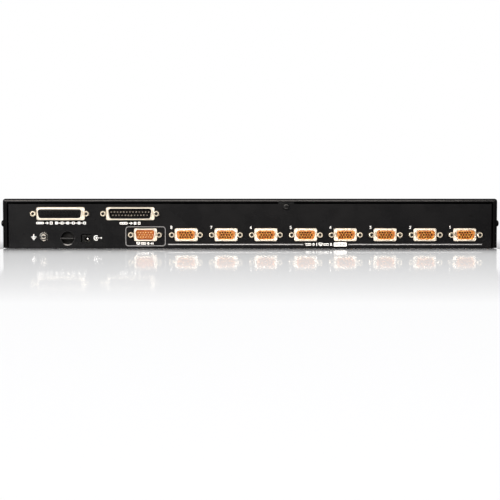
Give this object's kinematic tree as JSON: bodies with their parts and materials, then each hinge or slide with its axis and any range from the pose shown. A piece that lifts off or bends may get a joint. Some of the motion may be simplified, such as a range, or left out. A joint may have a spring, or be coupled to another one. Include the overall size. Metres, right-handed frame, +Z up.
{
  "type": "kvm switch",
  "caption": "Rack-mount keyboard, video and mouse switch in a black 1U steel case, with computer and chain connectors at the back and sprung selector keys at the front.",
  "frame": {"origin": "centre of the bounding box's underside, which is the underside of the case", "axes": "+X along the case's width, to the right as seen from the connector panel; -Y out of the connector panel; +Y out of the front bezel; +Z up"},
  "size_m": [0.4434, 0.1692, 0.044],
  "materials": {
    "black_steel": "fine-textured black powder coat",
    "black_plastic": "fine moulded grain",
    "smoked_window": "polished dark red acrylic",
    "nickel": "satin nickel plate",
    "orange_nylon": "moulded orange nylon",
    "black_nylon": "moulded black nylon",
    "black_screw": "black zinc plate",
    "zinc_screw": "bright zinc plate",
    "green_board": "solder mask over glass epoxy",
    "grey_button": "satin moulded key",
    "clear_pipe": "clear polycarbonate",
    "grey_cable": "flat cable jacket",
    "white_plastic": "moulded white plastic",
    "aluminium_can": "bare aluminium"
  },
  "bodies": {
    "enclosure": {"base_chassis": "black_steel", "board_link_header": "black_nylon", "chain_board": "green_board", "chain_board_post_left": "aluminium_can", "chain_board_post_right": "aluminium_can", "chain_in_insulator": "black_nylon", "chain_in_shell": "nickel", "chain_out_pin_block": "black_nylon", "chain_out_shell": "nickel", "console_pin_block": "orange_nylon", "console_shell": "nickel", "cover_screw_back": "black_screw", "cover_screw_left_front": "black_screw", "cover_screw_left_rear": "black_screw", "cover_screw_right_front": "black_screw", "cover_screw_right_rear": "black_screw", "dc_jack_body": "black_nylon", "dc_jack_pin": "nickel", "display_window": "smoked_window", "filter_capacitor": "aluminium_can", "front_bezel": "black_plastic", "front_board": "green_board", "front_board_header": "black_nylon", "ground_screw": "zinc_screw", "ground_washer": "zinc_screw", "kvm_port_1_insulator": "orange_nylon", "kvm_port_1_shell": "nickel", "kvm_port_2_insulator": "orange_nylon", "kvm_port_2_shell": "nickel", "kvm_port_3_insulator": "orange_nylon", "kvm_port_3_shell": "nickel", "kvm_port_4_insulator": "orange_nylon", "kvm_port_4_shell": "nickel", "kvm_port_5_insulator": "orange_nylon", "kvm_port_5_shell": "nickel", "kvm_port_6_insulator": "orange_nylon", "kvm_port_6_shell": "nickel", "kvm_port_7_insulator": "orange_nylon", "kvm_port_7_shell": "nickel", "kvm_port_8_insulator": "orange_nylon", "kvm_port_8_shell": "nickel", "light_pipe_bar": "clear_pipe", "main_board": "green_board", "main_board_header": "black_nylon", "processor_chip": "black_nylon", "ribbon_cable": "grey_cable", "station_display": "white_plastic", "top_cover": "black_steel", "usb_port_shell": "nickel", "usb_port_tongue": "white_plastic", "video_switch_chip": "black_nylon"},
    "port_button_1": {"port_button_1": "grey_button"},
    "port_button_2": {"port_button_2": "grey_button"},
    "port_button_3": {"port_button_3": "grey_button"},
    "port_button_4": {"port_button_4": "grey_button"},
    "port_button_5": {"port_button_5": "grey_button"},
    "port_button_6": {"port_button_6": "grey_button"},
    "port_button_7": {"port_button_7": "grey_button"},
    "port_button_8": {"port_button_8": "grey_button"},
    "reset_button": {"reset_button": "grey_button"}
  },
  "joints": [
    {"name": "port_button_1_press", "type": "slide", "parent": "enclosure", "child": "port_button_1", "axis": [0, -1, 0], "range_m": [0, 0.0006], "stiffness_N_per_m": 800, "springref_m": -0.0005},
    {"name": "port_button_2_press", "type": "slide", "parent": "enclosure", "child": "port_button_2", "axis": [0, -1, 0], "range_m": [0, 0.0006], "stiffness_N_per_m": 800, "springref_m": -0.0005},
    {"name": "port_button_3_press", "type": "slide", "parent": "enclosure", "child": "port_button_3", "axis": [0, -1, 0], "range_m": [0, 0.0006], "stiffness_N_per_m": 800, "springref_m": -0.0005},
    {"name": "port_button_4_press", "type": "slide", "parent": "enclosure", "child": "port_button_4", "axis": [0, -1, 0], "range_m": [0, 0.0006], "stiffness_N_per_m": 800, "springref_m": -0.0005},
    {"name": "port_button_5_press", "type": "slide", "parent": "enclosure", "child": "port_button_5", "axis": [0, -1, 0], "range_m": [0, 0.0006], "stiffness_N_per_m": 800, "springref_m": -0.0005},
    {"name": "port_button_6_press", "type": "slide", "parent": "enclosure", "child": "port_button_6", "axis": [0, -1, 0], "range_m": [0, 0.0006], "stiffness_N_per_m": 800, "springref_m": -0.0005},
    {"name": "port_button_7_press", "type": "slide", "parent": "enclosure", "child": "port_button_7", "axis": [0, -1, 0], "range_m": [0, 0.0006], "stiffness_N_per_m": 800, "springref_m": -0.0005},
    {"name": "port_button_8_press", "type": "slide", "parent": "enclosure", "child": "port_button_8", "axis": [0, -1, 0], "range_m": [0, 0.0006], "stiffness_N_per_m": 800, "springref_m": -0.0005},
    {"name": "reset_button_press", "type": "slide", "parent": "enclosure", "child": "reset_button", "axis": [0, -1, 0], "range_m": [0, 0.0006], "stiffness_N_per_m": 800, "springref_m": -0.0005}
  ]
}
